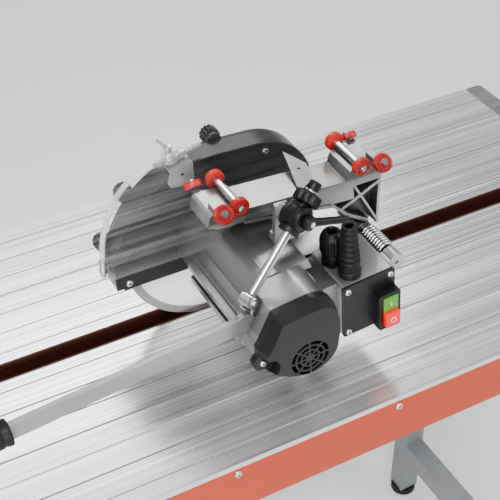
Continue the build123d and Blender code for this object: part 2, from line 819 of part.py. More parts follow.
gland_spot = (81.0, -118.0, 5.6)
boot_spot = (86.0, -143.0, 6.4)


def box_cover():
    u = box_u
    w = box_w
    plate = soften(block(u, (box_y[0] - cover_plate, box_y[0]), w), 3, Axis.Y)
    window = block(bezel_window[0], (box_y[0] - 10, box_y[0] + 1), bezel_window[1])
    return place_motor(plate - window)


bezel_u = (103.0, 131.0)
bezel_w = (-54.0, -6.0)
bezel_depth = 11.0
bezel_window = ((109.0, 125.0), (-48.0, -12.0))
button_split = -30.0


def switch_bezel():
    """Hooded frame round the two push buttons."""
    face = box_y[0] - cover_plate
    frame = block((bezel_u[0], bezel_u[1] - 2), (face - bezel_depth, face), bezel_w)
    frame = chamfer(frame.edges().filter_by(Axis.Y), 2.0)
    window = block((bezel_window[0][0] - 1, bezel_window[0][1] + 1), (face - bezel_depth - 1, face + 1),
                   (bezel_window[1][0] - 1, bezel_window[1][1] + 1))
    socket = block(bezel_window[0], (face, face + 14), bezel_window[1])
    hollow = block((bezel_window[0][0] + 1, bezel_window[0][1] - 1), (face - 1, face + 12),
                   (bezel_window[1][0] + 1, bezel_window[1][1] - 1))
    return place_motor(frame - window + socket - hollow)


def push_button(upper):
    """A cap that slides in the bezel."""
    face = box_y[0] - cover_plate
    gap = button_gap
    u = (bezel_window[0][0] - 1 + gap, bezel_window[0][1] + 1 - gap)
    w = bezel_window[1]
    if upper:
        span = (button_split + gap / 2, w[1] + 1 - gap)
        out = 1.5
    else:
        span = (w[0] - 1 + gap, button_split - gap / 2)
        out = 6.0
    cap = block(u, (face - bezel_depth - out, face - bezel_depth + 6), span)
    cap = chamfer(cap.edges().group_by(Axis.Y)[0], 0.8)
    middle = (span[0] + span[1]) / 2
    stem = block((u[0] + 5, u[1] - 5), (face - bezel_depth + 6, face + 8), (middle - 4, middle + 4))
    return place_motor(cap + stem)


def cable_gland():
    """Hexagonal body, domed nut and a through bore."""
    u, y, radius = gland_spot
    base = box_w[1]
    thread = Pos(u, y, base - 5) * Cylinder(radius - 0.05, 10)
    nut = Pos(u, y, base) * extrude(RegularPolygon(12.5, 6), amount=9)
    collar = Pos(u, y, base + 9) * Cylinder(11.0, 8, align=(Align.CENTER, Align.CENTER, Align.MIN))
    upper = Pos(u, y, base + 17) * extrude(RegularPolygon(12.8, 10), amount=15)
    dome = Pos(u, y, base + 32) * Cone(11.6, 8.6, 9, align=(Align.CENTER, Align.CENTER, Align.MIN))
    bore = Pos(u, y, base) * Cylinder(4.5, 120)
    return place_motor(thread + nut + collar + upper + dome - bore)


def strain_boot():
    """Ribbed, tapered cable boot with an open end."""
    u, y, radius = boot_spot
    base = box_w[1]
    body = Pos(u, y, base) * Cone(10.8, 7.0, 64, align=(Align.CENTER, Align.CENTER, Align.MIN))
    ribs = []
    for step in range(7):
        height = base + 17 + step * 6.6
        size = 10.9 - step * 0.45
        ribs.append(Pos(u, y, height) * Cylinder(size, 2.6, align=(Align.CENTER, Align.CENTER, Align.MIN)))
    foot = Pos(u, y, base) * Cylinder(11.6, 7, align=(Align.CENTER, Align.CENTER, Align.MIN))
    plug = Pos(u, y, base - 5) * Cylinder(radius - 0.05, 10)
    bore = Pos(u, y, base) * Cylinder(4.2, 180)
    return place_motor(body + ribs + foot + plug - bore)


def motor_screws():
    """Screw heads on the fan cover and the box cover."""
    heads = []
    heads.append(cross_bar(*screw_lobe, 3.6, (lobe_front - screw_head_height, lobe_front)))
    face = box_y[0] - cover_plate
    corners = [(box_u[0] + 6, box_w[1] - 6), (box_u[1] - 6, box_w[1] - 6), (box_u[0] + 6, box_w[0] + 6)]
    for u, w in corners:
        heads.append(cross_bar(u, w, 3.6, (face - screw_head_height, face)))
    return [place_motor(head) for head in heads]


handle_root = Vector(-50.0, -169.0, strap_top - 12.0)
handle_end = Vector(-285.0, -177.0, 106.0)
handle_height = 18.0
handle_thickness = 6.0
handle_boss_radius = 12.0
grip_length = 110.0


def handle_direction():
    return (handle_end - handle_root).normalized()


def pull_handle():
    """Flat bar from a round boss on the motor's side out to the operator's left."""
    way = handle_direction()
    side = Vector(0, 0, 1).cross(way).normalized()
    length = (handle_end - handle_root).length
    bar = Box(length, handle_thickness, handle_height, align=(Align.MIN, Align.CENTER, Align.CENTER))
    bar = Plane(origin=tuple(handle_root), x_dir=way, z_dir=way.cross(side)) * bar
    reach = side * (handle_thickness / 2)
    boss = bar_between(tuple(handle_root - reach), tuple(handle_root + reach), handle_boss_radius)
    motor = place_motor(plate_xz(inset(fan_outline, 1.0), (motor_front, motor_front + 40)))
    return place_head(bar + boss) - motor


def handle_grip():
    end = handle_end + handle_direction() * grip_length
    grip = bar_between(tuple(handle_end), tuple(end), 13.0)
    return place_head(fillet(grip.edges().filter_by(GeomType.CIRCLE), 4))


# =====================================================================
# Rotating set
# =====================================================================
flange_end = 6.0              # outer face of the blade flange
stud_radius = 5.0


def rotor():
    shaft = cross_bar(0, 0, shaft_radius, (-192, flange_end))
    core = cross_bar(0, 0, rotor_radius, (-162, -83))
    stud = cross_bar(0, 0, stud_radius, (flange_end, flange_end + 4.4))
    return place_motor(shaft + core + stud)


def cooling_fan():
    hub = cross_bar(0, 0, 10, (-201, -190)) - cross_bar(0, 0, shaft_radius, (-192, -188))
    blades = []
    for step in range(7):
        vane = Pos(13, -195.5, 0) * Rot(28, 0, 0) * Box(10, 9, 1.6)
        blades.append(Rot(0, step * 360 / 7, 0) * vane)
    return place_motor(hub + blades)


def blade():
    """Continuous-rim disc; a few relief holes keep it a real blade."""
    disc = cross_bar(0, 0, blade_radius - 9, (-blade_thickness / 2 + 0.2, blade_thickness / 2 - 0.2))
    rim = cross_bar(0, 0, blade_radius, (-blade_thickness / 2, blade_thickness / 2))
    rim = rim - cross_bar(0, 0, blade_radius - 9, (-2, 2))
    bore = cross_bar(0, 0, shaft_radius, (-3, 3))
    return place_motor(disc + rim - bore)


def blade_flanges():
    inner = cross_bar(0, 0, 24, (-7, -blade_thickness / 2 + 0.2)) - cross_bar(0, 0, shaft_radius, (-9, 0))
    face = blade_thickness / 2 - 0.2
    outer = cross_bar(0, 0, 24, (face, flange_end)) - cross_bar(0, 0, shaft_radius, (0, 9))
    nut = Pos(0, flange_end + 4.2, 0) * Rot(90, 0, 0) * extrude(RegularPolygon(9, 6), amount=4.2)
    nut = nut - cross_bar(0, 0, stud_radius, (0, 20))
    return [place_motor(inner), place_motor(outer), place_motor(nut)]


# =====================================================================
# Guard
# =====================================================================
def guard_face(shrink, y):
    """Two rounds and their common tangents, cut off at the straight bottom edge."""
    big = guard_radius - shrink
    small = guard_nose_radius - shrink
    dx = guard_nose[0] - guard_centre[0]
    dz = guard_nose[1] - guard_centre[1]
    toward = degrees(atan2(dz, dx))
    swing = degrees(acos((big - small) / (dx * dx + dz * dz) ** 0.5))
    bridge = [
        polar(toward + swing, big, guard_centre), polar(toward + swing, small, guard_nose),
        polar(toward - swing, small, guard_nose), polar(toward - swing, big, guard_centre),
    ]
    disc = cross_bar(guard_centre[0], guard_centre[1], big, y)
    disc = disc + cross_bar(guard_nose[0], guard_nose[1], small, y) + plate_xz(bridge, y)
    below = block((-200, 200), (y[0] - 1, y[1] + 1), (-100, guard_floor))
    return disc - below


def guard_shell():
    outer = guard_face(0, (-guard_half, guard_half - guard_wall - guard_gap))
    inner = guard_face(guard_wall, (-guard_half + guard_wall, guard_half + 5))
    below = block((-200, 200), (-guard_half + guard_wall, 40), (guard_floor - 10, guard_floor + 0.01))
    shaft_way = cross_bar(0, blade_height, shaft_radius + 4, (-40, 0))
    shell = outer - inner - below - shaft_way
    step = block((-guard_radius + 8, guard_radius - 8), (-guard_half - 2, -guard_half),
                 (guard_floor, guard_floor + 17))
    boss_x, boss_z = motor_to_head(barrel_u, barrel_w)
    boss_hole = cross_bar(boss_x, boss_z, barrel_radius + 0.5, (-60, 0))
    step = step & guard_face(0.5, (-guard_half - 4, 0))
    return place_head(shell + (step - boss_hole))


def guard_cover():
    """Removable outer cover, held by the hand knobs."""
    cover = guard_face(0, (guard_half - guard_wall, guard_half))
    for angle in knob_angles:
        x, z = polar(angle, knob_ring, guard_centre)
        cover = cover + cross_bar(x, z, 8.0, (guard_half - guard_wall, guard_half))
        cover = cover - cross_bar(x, z, 3.0, (0, 30))
    return place_head(cover)


knob_angles = (84.0, 138.0, 168.0)
knob_ring = 117.0


def guard_knob(angle):
    x, z = polar(angle, knob_ring, guard_centre)
    knob = cross_bar(x, z, 10.0, (guard_half + 0.4, guard_half + 15))
    for step in range(12):
        px, pz = polar(step * 30, 10.8, (x, z))
        knob = knob - cross_bar(px, pz, 1.5, (guard_half - 1, guard_half + 13))
    stud = cross_bar(x, z, 2.95, (guard_half - guard_wall, guard_half + 1))
    return place_head(knob + stud)


def guard_screws():
    heads = []
    for x, z in ((58.0, 189.0), (-103.0, 77.0), (103.0, 77.0)):
        front = -guard_half - (2.0 if z < guard_floor + 17 else 0.0)
        heads.append(place_head(cross_bar(x, z, screw_head_radius, (front - screw_head_height, front))))
    return heads


# =====================================================================
# Water feed
# =====================================================================
valve_centre = Vector(-44.0, -3.0, 208.0)
feed_slope = 11.0


def feed_axis():
    return Vector(cos(radians(feed_slope)), 0, sin(radians(feed_slope)))


def valve_body():
    """Ball valve with its inlet pin and its outlet nipple."""
    axis = feed_axis()
    centre = valve_centre
    ball = Pos(*centre) * Sphere(8.0)
    pipe = bar_between(tuple(centre - axis * 20), tuple(centre + axis * 34), 4.0)
    nut = bar_between(tuple(centre + axis * 8), tuple(centre + axis * 15), 6.0)
    collar = bar_between(tuple(centre - axis * 15), tuple(centre - axis * 8), 5.4)
    bore = bar_between(tuple(centre - axis * 26), tuple(centre + axis * 40), 2.2)
    up = Vector(-sin(radians(feed_slope)), 0, cos(radians(feed_slope)))
    stem = bar_between(tuple(centre), tuple(centre + up * 10), 3.4)
    return place_head(ball + pipe + nut + collar + stem - bore)


def valve_lever():
    up = Vector(-sin(radians(feed_slope)), 0, cos(radians(feed_slope)))
    base = valve_centre + up * 10.3
    hub = bar_between(tuple(base), tuple(base + up * 4), 4.5)
    tip = base + up * 20 - feed_axis() * 10
    arm = bar_between(tuple(base + up * 2), tuple(tip), 2.2)
    return place_head(hub + arm)


def valve_bracket():
    """Angle plate that carries the valve on the guard."""
    face = -guard_half
    plate = plate_xz([(-53, 186), (-50, 197), (-25, 203), (-24, 184), (-33, 178), (-50, 180)],
                     (face - 1.6, face))
    hole = block((-38.5, -34.5), (face - 4, face + 2), (190, 194))
    shelf = plate_xz([(-50, 197), (-50.4, 198.6), (-25.4, 204.6), (-25, 203)], (face - 1.6, 5.0))
    clear = bar_between(tuple(valve_centre - feed_axis() * 40), tuple(valve_centre + feed_axis() * 60), 6.1)
    return place_head(plate - hole + shelf - clear - Pos(*valve_centre) * Sphere(8.05))


hose_points = [
    tuple(valve_centre - feed_axis() * 20), tuple(valve_centre - feed_axis() * 32),
    (-89.0, 1.5, 190.5), (-99.5, 6.0, 174.5),
    (-109.0, 8.0, 155.5), (-116.0, 8.0, 136.0), (-120.5, 8.0, 116.0), (-121.5, 7.0, 97.0),
]


def hose_fillets():
    """Bend radii, each as large as its two runs allow."""
    radii = []
    points = [Vector(*p) for p in hose_points]
    for before, here, after in zip(points, points[1:], points[2:]):
        first = here - before
        second = after - here
        turn = radians(first.get_angle(second))
        radii.append(0.45 * min(first.length, second.length) / (sin(turn / 2) / cos(turn / 2)))
    return radii


def water_hose():
    radii = hose_fillets()
    print("hose bend radii", [round(r, 1) for r in radii])
    path = FilletPolyline(*hose_points, radius=radii)
    section = Plane(origin=path @ 0, z_dir=path % 0) * Circle(hose_radius)
    hose = sweep(section, path=path)
    print("hose length", round(path.length, 1), "volume ratio",
          round(hose.volume / (pi * hose_radius ** 2 * path.length), 3))
    return place_head(hose)


def hose_nozzle():
    """Spray nozzle at the hose's lower end, held on the guard's rim."""
    end = Vector(*hose_points[-1])
    heading = (end - Vector(*hose_points[-2])).normalized()
    body = bar_between(tuple(end), tuple(end + heading * 14), 4.4)
    tip = bar_between(tuple(end + heading * 14), tuple(end + heading * 20), 2.6)
    return place_head(body + tip)


def export_table():
    save("deck_front", deck_half(-1))
    save("deck_rear", deck_half(1))
    save("slot_channel", slot_channel())
    save("side_rails", [fascia(-1), fascia(1)])
    save("rail_screws", fascia_screws())
    save("end_caps", end_caps())
    save("water_tray", water_tray())
    save("leg_frames", leg_frames())
    save("feet", feet())
    save("beam_posts", beam_posts())
    save("guide_beam", guide_beam())


def export_carriage():
    save("carriage_casting", carriage())
    save("pivot_pin", pivot_pin())
    save("tilt_axles", tilt_axles())
    save("plunge_spring", plunge_spring())
    save("guide_plate", guide_plate())
    save("clamp_bracket", clamp_bracket())
    for name, x in (("left", left_axle_x), ("right", right_axle_x)):
        save(f"axle_{name}", straight_axle(x))
        save(f"axle_wheels_{name}", flat_wheels(x))
    for name, x in zip(("left", "right"), tilt_wheel_stations()):
        for side, end in ((-1, "front"), (1, "rear")):
            save(f"tilt_wheel_{name}_{end}", tilt_wheel(x, side))
    save("clamp_body", clamp_body())
    save("clamp_knob", clamp_knob())
    save("clamp_lever", clamp_lever())
    save("depth_rod", depth_rod())
    save("rod_cap", rod_cap())


def export_head():
    save("motor_housing", motor_housing())
    save("fan_cover", fan_cover())
    save("stator", stator())
    save("motor_bearings", motor_bearings())
    save("switch_box", switch_box())
    save("box_cover", box_cover())
    save("switch_bezel", switch_bezel())
    save("start_button", push_button(True))
    save("stop_button", push_button(False))
    save("cable_gland", cable_gland())
    save("strain_boot", strain_boot())
    save("motor_screws", motor_screws())
    save("rod_fork", rod_fork())
    save("pull_handle", pull_handle())
    save("handle_grip", handle_grip())
    save("rotor", rotor())
    save("cooling_fan", cooling_fan())
    save("blade", blade())
    save("blade_flanges", blade_flanges())
    save("guard_shell", guard_shell())
    save("guard_cover", guard_cover())
    save("guard_screws", guard_screws())
    for number, angle in enumerate(knob_angles, start=1):
        save(f"guard_knob_{number}", guard_knob(angle))
    save("valve_body", valve_body())
    save("valve_lever", valve_lever())
    save("valve_bracket", valve_bracket())
    save("water_hose", water_hose())
    save("hose_nozzle", hose_nozzle())


export_table()
export_carriage()
export_head()
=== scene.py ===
import json
import math

import bmesh
import bpy
from mathutils import Matrix, Vector


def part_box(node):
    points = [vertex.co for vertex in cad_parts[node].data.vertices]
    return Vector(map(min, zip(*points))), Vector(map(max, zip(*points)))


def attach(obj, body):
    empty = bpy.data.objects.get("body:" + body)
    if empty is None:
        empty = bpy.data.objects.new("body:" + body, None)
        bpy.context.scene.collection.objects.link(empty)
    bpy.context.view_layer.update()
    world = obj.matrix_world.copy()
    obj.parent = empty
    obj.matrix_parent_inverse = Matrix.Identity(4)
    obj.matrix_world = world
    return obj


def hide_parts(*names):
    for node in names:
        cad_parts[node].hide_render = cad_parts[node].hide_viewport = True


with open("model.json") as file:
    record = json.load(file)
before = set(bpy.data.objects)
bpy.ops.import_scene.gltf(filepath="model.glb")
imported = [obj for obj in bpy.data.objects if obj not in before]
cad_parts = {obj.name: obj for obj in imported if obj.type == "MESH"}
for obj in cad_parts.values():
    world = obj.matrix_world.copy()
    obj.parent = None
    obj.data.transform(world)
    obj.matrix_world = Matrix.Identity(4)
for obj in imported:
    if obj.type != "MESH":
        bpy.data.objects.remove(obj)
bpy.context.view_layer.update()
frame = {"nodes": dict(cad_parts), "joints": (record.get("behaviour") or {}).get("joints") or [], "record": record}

MM = 0.001
FULL_TURN = 2 * math.pi


# ---------------------------------------------------------------------
# Places, all from the frame
# ---------------------------------------------------------------------
joints = {joint["name"]: joint for joint in frame["joints"]}
mounts = {mount["name"]: mount for mount in frame["record"]["mounts"]}


def spot(joint):
    return Vector(joints[joint]["pos_m"])


def way(joint):
    return Vector(joints[joint]["axis"]).normalized()


deck_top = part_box("deck_front")[1].z
blade_axis = spot("spindle_spin")
motor_up = Vector(mounts["cable_entry"]["axis"]).normalized()
motor_right = Vector((motor_up.z, 0, -motor_up.x))
feed_way = Vector(mounts["water_inlet"]["axis"]).normalized()
rod_way = way("clamp_knob_turn")
clamp_side = way("clamp_lever_turn")
FRONT = Vector((0, -1, 0))
REAR = Vector((0, 1, 0))


def head(x, y, z):
    """A point of the saw head in millimetres: X from the blade's axis, Z from the deck."""
    return Vector((blade_axis.x + x * MM, y * MM, deck_top + z * MM))


def motor(u, y, w):
    """A point in the leaning motor frame, in millimetres from the shaft."""
    place = blade_axis + motor_right * (u * MM) + motor_up * (w * MM)
    place.y = y * MM
    return place


def stand(place, up, turn=0.0):
    """A matrix that stands a shape, made on Z, at a place."""
    aim = up.to_track_quat("Z", "Y").to_matrix().to_4x4()
    return Matrix.Translation(place) @ aim @ Matrix.Rotation(turn, 4, "Z")


# ---------------------------------------------------------------------
# Finishes
# ---------------------------------------------------------------------
def node(tree, kind, **values):
    made = tree.nodes.new(kind)
    for key, value in values.items():
        if key in made.inputs:
            made.inputs[key].default_value = value
        else:
            setattr(made, key, value)
    return made


def link(tree, source, output, target, socket):
    tree.links.new(source.outputs[output], target.inputs[socket])


def shade(colour, share):
    return tuple(min(1.0, channel * share) for channel in colour) + (1.0,)


def grain_noise(tree, stretch, scale, detail=5.0):
    """Noise on Object coordinates, stretched along an axis."""
    place = node(tree, "ShaderNodeTexCoord")
    mapping = node(tree, "ShaderNodeMapping", Scale=stretch)
    noise = node(tree, "ShaderNodeTexNoise", Scale=scale, Detail=detail, Roughness=0.6)
    link(tree, place, "Object", mapping, "Vector")
    link(tree, mapping, "Vector", noise, "Vector")
    return noise


def ramp(tree, source, low, high, start=0.3, end=0.7):
    """Spreads a noise value over a range."""
    spread = node(tree, "ShaderNodeMapRange")
    spread.inputs["From Min"].default_value = start
    spread.inputs["From Max"].default_value = end
    spread.inputs["To Min"].default_value = low
    spread.inputs["To Max"].default_value = high
    tree.links.new(source, spread.inputs["Value"])
    return spread


# deep sets the painted shade in corners and creases; worn sets edge wear with a painted edge highlight.
def finish(name, colour, metallic=0.0, rough=(0.4, 0.5), spread=(0.9, 1.08), stretch=(1, 1, 1), scale=40.0,
           bump=0.1, bump_scale=600.0, edge=0.5, wear_and_highlight=0.0, coat=0.0, alpha=1.0, gloss=0.5, deep=0.0):
    """A surface with grain in its colour, roughness and height, softly rounded edges lightened for wear and a
    painted edge highlight, and painted shade in corners and creases.
    """
    made = bpy.data.materials.new(name)
    made.use_nodes = True
    tree = made.node_tree
    shader = tree.nodes["Principled BSDF"]
    grain = grain_noise(tree, stretch, scale)
    tone = node(tree, "ShaderNodeMix", data_type="RGBA")
    tone.inputs[6].default_value = shade(colour, spread[0])
    tone.inputs[7].default_value = shade(colour, spread[1])
    tone_share = ramp(tree, grain.outputs["Fac"], 0.0, 1.0)
    link(tree, tone_share, "Result", tone, 0)
    rough_share = ramp(tree, grain.outputs["Fac"], rough[0], rough[1])
    link(tree, rough_share, "Result", shader, "Roughness")
    rounded = node(tree, "ShaderNodeBevel", samples=4, Radius=edge * MM)
    fine = grain_noise(tree, stretch, bump_scale, 3.0)
    height = node(tree, "ShaderNodeBump", Strength=bump, Distance=0.0004)
    link(tree, fine, "Fac", height, "Height")
    link(tree, rounded, "Normal", height, "Normal")
    link(tree, height, "Normal", shader, "Normal")
    colour_out = tone.outputs[2]
    # Edge wear and painted highlight: the colour is lightened along rounded edges.
    if wear_and_highlight:
        colour_out = wear_and_highlight_edges(tree, rounded, colour_out, colour, wear_and_highlight)
    # Painted shade: the colour is darkened inside corners and under overhangs.
    if deep:
        colour_out = painted_crease_shade(tree, colour_out, deep)
    tree.links.new(colour_out, shader.inputs["Base Color"])
    shader.inputs["Metallic"].default_value = metallic
    shader.inputs["Coat Weight"].default_value = coat
    shader.inputs["Alpha"].default_value = alpha
    shader.inputs["Specular IOR Level"].default_value = gloss
    return made


def wear_and_highlight_edges(tree, rounded, colour_out, colour, share):
    """Edge wear and painted edge highlight: lightens the colour where the rounded normal leaves the flat one."""
    flat = node(tree, "ShaderNodeNewGeometry")
    match = node(tree, "ShaderNodeVectorMath", operation="DOT_PRODUCT")
    link(tree, rounded, "Normal", match, 0)
    link(tree, flat, "Normal", match, 1)
    mask = ramp(tree, match.outputs["Value"], share, 0.0, 0.80, 0.985)
    light = node(tree, "ShaderNodeMix", data_type="RGBA")
    light.inputs[7].default_value = shade([0.25 + 0.75 * channel for channel in colour], 1.1)
    link(tree, mask, "Result", light, 0)
    tree.links.new(colour_out, light.inputs[6])
    return light.outputs[2]


def painted_crease_shade(tree, colour_out, share):
    """Painted shade: darkens the colour inside corners and under overhangs, where shade falls."""
    hollow = node(tree, "ShaderNodeAmbientOcclusion", samples=6, Distance=0.03)
    mask = ramp(tree, hollow.outputs["AO"], 1.0 - share, 1.0, 0.25, 0.95)
    dark = node(tree, "ShaderNodeMix", data_type="RGBA", blend_type="MULTIPLY")
    dark.inputs[0].default_value = 1.0
    tree.links.new(colour_out, dark.inputs[6])
    link(tree, mask, "Result", dark, 7)
    return dark.outputs[2]


def deck_finish():
    """Extruded aluminium: soft bands, fine white lines painted as highlights, and faint dark lines, along X."""
    made = finish("deck_aluminium", (0.74, 0.74, 0.75), 0.85, (0.2, 0.36), (0.74, 1.16), (0.2, 22, 22), 1.6,
                  0.06, 9.0, 0.5, 0.3, deep=0.5)
    tree = made.node_tree
    shader = tree.nodes["Principled BSDF"]
    base = shader.inputs["Base Color"].links[0].from_socket
    lines = grain_noise(tree, (0.03, 260, 260), 1.5, 1.0)
    share = ramp(tree, lines.outputs["Fac"], 0.0, 1.0, 0.57, 0.61)
    # Painted highlight: thin white lines along X over the base colour.
    bright = node(tree, "ShaderNodeMix", data_type="RGBA")
    bright.inputs[7].default_value = (1.0, 1.0, 1.0, 1.0)
    link(tree, share, "Result", bright, 0)
    tree.links.new(base, bright.inputs[6])
    dark = node(tree, "ShaderNodeMix", data_type="RGBA")
    dark.inputs[7].default_value = (0.26, 0.26, 0.28, 1.0)
    dark_share = ramp(tree, lines.outputs["Fac"], 0.6, 0.0, 0.36, 0.42)
    link(tree, dark_share, "Result", dark, 0)
    link(tree, bright, 2, dark, 6)
    link(tree, dark, 2, shader, "Base Color")
    return made


def radius_from(tree, centre):
    """Distance from a line along Y through a point."""
    place = node(tree, "ShaderNodeTexCoord")
    mapping = node(tree, "ShaderNodeMapping", Location=(-centre.x, 0, -centre.z))
    flat = node(tree, "ShaderNodeVectorMath", operation="MULTIPLY")
    flat.inputs[1].default_value = (1, 0, 1)
    length = node(tree, "ShaderNodeVectorMath", operation="LENGTH")
    link(tree, place, "Object", mapping, "Vector")
    link(tree, mapping, "Vector", flat, 0)
    link(tree, flat, "Vector", length, 0)
    return length.outputs["Value"]


def blade_finish():
    """Bright disc with a grey, gritty rim."""
    made = finish("blade_white", (0.97, 0.97, 0.97), 0.0, (0.3, 0.4), (0.98, 1.03), (1, 1, 1), 30, 0.05,
                  900, 0.2)
    tree = made.node_tree
    shader = tree.nodes["Principled BSDF"]
    base = shader.inputs["Base Color"].links[0].from_socket
    share = ramp(tree, radius_from(tree, blade_axis), 0.0, 1.0, 0.0902, 0.0912)
    grit = grain_noise(tree, (1, 1, 1), 1500, 2.0)
    rim = node(tree, "ShaderNodeMix", data_type="RGBA")
    rim.inputs[6].default_value = (0.16, 0.16, 0.17, 1.0)
    rim.inputs[7].default_value = (0.34, 0.34, 0.34, 1.0)
    link(tree, grit, "Fac", rim, 0)
    both = node(tree, "ShaderNodeMix", data_type="RGBA")
    link(tree, share, "Result", both, 0)
    tree.links.new(base, both.inputs[6])
    link(tree, rim, 2, both, 7)
    link(tree, both, 2, shader, "Base Color")
    return made


def beam_finish():
    """Anodised beam, drawn faint, and faintest round the saw head."""
    made = finish("beam_aluminium", (0.62, 0.63, 0.65), 0.4, (0.3, 0.4), (0.6, 1.3), (0.3, 60, 60), 1.5,
                  0.0, 9, 0.3)
    tree = made.node_tree
    shader = tree.nodes["Principled BSDF"]
    place = node(tree, "ShaderNodeTexCoord")
    parts = node(tree, "ShaderNodeSeparateXYZ")
    link(tree, place, "Object", parts, 0)
    left = ramp(tree, parts.outputs["X"], BEAM_LEFT, BEAM_MIDDLE, -0.05, blade_axis.x - 0.03)
    right = ramp(tree, parts.outputs["X"], 0.0, BEAM_RIGHT, blade_axis.x + 0.1, blade_axis.x + 0.45)
    total = node(tree, "ShaderNodeMath", operation="ADD")
    link(tree, left, "Result", total, 0)
    link(tree, right, "Result", total, 1)
    lines = grain_noise(tree, (0.2, 120, 120), 1.3, 3.0)
    streaks = ramp(tree, lines.outputs["Fac"], 0.15, 2.4, 0.42, 0.66)
    faint = node(tree, "ShaderNodeMath", operation="MULTIPLY")
    link(tree, total, "Value", faint, 0)
    link(tree, streaks, "Result", faint, 1)
    link(tree, faint, "Value", shader, "Alpha")
    return made


BEAM_LEFT = 0.055
BEAM_MIDDLE = 0.003
BEAM_RIGHT = 0.03

ALUMINIUM = deck_finish()
BLADE = blade_finish()
BEAM = beam_finish()
SLOT_BROWN = finish("slot_brown", (0.035, 0.008, 0.005), 0.0, (0.4, 0.55), (0.6, 1.5), (0.5, 8, 8), 6, 0.1,
                    200, gloss=0.25)
ORANGE = finish("rail_orange", (0.40, 0.030, 0.004), 0.0, (0.34, 0.46), (0.95, 1.05), (1, 1, 1), 20, 0.04,
                500, 0.5, 0.1,
                gloss=0.3)
CAP_GREY = finish("cap_grey", (0.09, 0.09, 0.095), 0.0, (0.5, 0.62), (0.85, 1.15), (1, 1, 1), 60, 0.25,
                  1400, 1.0, 0.15,
                  gloss=0.3)
FRAME_GREY = finish("frame_grey", (0.20, 0.21, 0.22), 0.1, (0.42, 0.55), (0.9, 1.1), (1, 1, 1), 40, 0.3,
                    1200, 1.5, 0.2)
TRAY = finish("tray_steel", (0.55, 0.56, 0.58), 0.8, (0.3, 0.5), (0.8, 1.15), (1, 6, 1), 14, 0.08, 300, 0.8)
RUBBER = finish("rubber_black", (0.006, 0.006, 0.0065), 0.0, (0.42, 0.6), (0.8, 1.3), (1, 1, 1), 90, 0.2,
                1600, 0.5, 0.05,
                gloss=0.2, deep=0.7)
CAST = finish("cast_aluminium", (0.40, 0.395, 0.385), 0.85, (0.26, 0.40), (0.88, 1.1), (1, 1, 1), 30, 0.10,
              900, 0.9, 0.9,
              deep=0.85)
CHROME = finish("bright_steel", (0.90, 0.90, 0.90), 1.0, (0.1, 0.2), (0.95, 1.03), (1, 1, 1), 50, 0.03, 800,
                0.3, deep=0.7)
STEEL = finish("bearing_steel", (0.6, 0.6, 0.62), 0.95, (0.25, 0.36), (0.92, 1.06), (1, 1, 1), 60, 0.06,
               900, 0.3)
SCREW = finish("screw_steel", (0.82, 0.82, 0.82), 0.95, (0.18, 0.3), (0.95, 1.04), (1, 1, 1), 80, 0.05, 900,
               0.25, deep=0.7)
RED = finish("wheel_red", (0.48, 0.001, 0.002), 0.0, (0.24, 0.36), (0.88, 1.1), (1, 1, 1), 120, 0.05, 900,
             0.3, 0.05,
             gloss=0.3, deep=0.6)
BLACK = finish("black_plastic", (0.005, 0.005, 0.0055), 0.0, (0.32, 0.46), (0.8, 1.3), (1, 1, 1), 80, 0.15,
               1500, 0.5, 0.05,
               gloss=0.22, deep=0.7)
MOTOR = finish("motor_grey", (0.36, 0.36, 0.355), 0.9, (0.30, 0.34), (0.97, 1.03), (1, 1, 1), 8, 0.03, 900,
               0.9, 0.8,
               deep=0.75)
HANDLE = finish("handle_grey", (0.31, 0.305, 0.31), 0.75, (0.28, 0.4), (0.85, 1.12), (0.6, 8, 8), 10, 0.06,
                200, 0.9, 0.5,
                deep=0.6)
COVER = finish("cover_dark", (0.008, 0.0075, 0.0078), 0.0, (0.36, 0.46), (0.94, 1.08), (1, 1, 1), 40, 0.12,
               1700, 1.2, 0.05,
               gloss=0.28, deep=0.7)
BOX = finish("box_silver", (0.52, 0.52, 0.51), 0.85, (0.28, 0.4), (0.88, 1.1), (1, 1, 1), 24, 0.08, 900,
             1.0, 0.6, deep=0.7)
GREEN = finish("button_green", (0.06, 0.26, 0.012), 0.0, (0.25, 0.35), (0.95, 1.06), (1, 1, 1), 60, 0.05,
               900, 0.6, 0.12)
STOP_RED = finish("button_red", (0.85, 0.001, 0.002), 0.0, (0.25, 0.35), (0.95, 1.06), (1, 1, 1), 60, 0.05,
                  900, 0.6, 0.06,
                  gloss=0.3)
MARK = finish("mark_white", (0.85, 0.85, 0.84), 0.0, (0.4, 0.5), (0.97, 1.02), (1, 1, 1), 60, 0.02, 900, 0.1)
COPPER = finish("copper", (0.62, 0.27, 0.12), 0.9, (0.3, 0.45), (0.8, 1.15), (1, 20, 1), 30, 0.3, 400, 0.3)
GUARD = finish("guard_grey", (0.020, 0.0195, 0.020), 0.15, (0.32, 0.38), (0.94, 1.08), (0.4, 1, 3), 12,
               0.06, 1300, 1.8, 0.1,
               gloss=0.3, deep=0.5)
VALVE = finish("valve_chrome", (0.92, 0.93, 0.93), 0.3, (0.14, 0.24), (0.97, 1.04), (1, 1, 1), 60, 0.04,
               900, 0.4, deep=0.7)
PLATE = finish("bracket_white", (0.60, 0.60, 0.58), 0.5, (0.32, 0.44), (0.92, 1.08), (1, 1, 1), 60, 0.06,
               900, 0.5, 0.4,
               deep=0.5)
HOSE = finish("hose_clear", (0.80, 0.81, 0.82), 0.0, (0.12, 0.2), (0.92, 1.05), (1, 1, 1), 30, 0.02, 300,
              0.1, 0.0, 0.4, 0.62)

